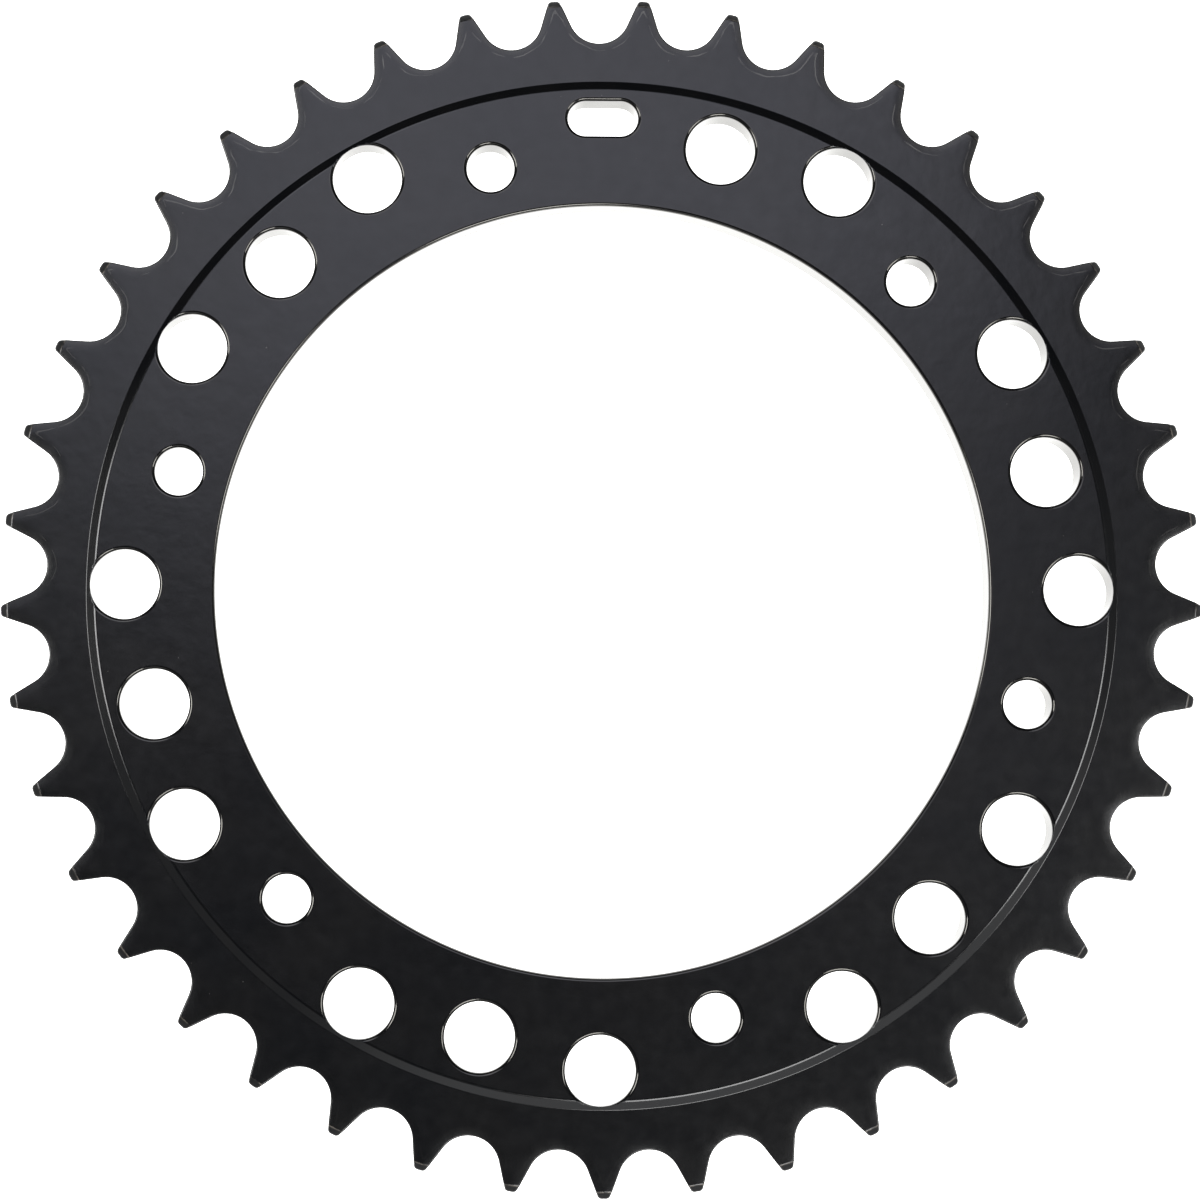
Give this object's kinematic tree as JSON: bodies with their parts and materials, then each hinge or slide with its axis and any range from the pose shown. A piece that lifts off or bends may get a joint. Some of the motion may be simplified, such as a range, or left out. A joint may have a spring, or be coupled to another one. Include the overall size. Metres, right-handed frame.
{
  "type": "rear sprocket",
  "caption": "Flat one-piece chain sprocket with a toothed rim, raised web, large hub bore, bolt holes on a circle and rows of round lightening holes.",
  "frame": {"origin": "on the bore's axis at the back face, which seats on the wheel's sprocket carrier", "axes": "+Z along the bore's axis out of the front face, +Y through the middle of the slot"},
  "size_m": [0.2136, 0.2136, 0.0066],
  "materials": {
    "coated_steel": "semi-gloss black coat"
  },
  "bodies": {
    "root": {"rear_sprocket": "coated_steel"}
  },
  "joints": []
}
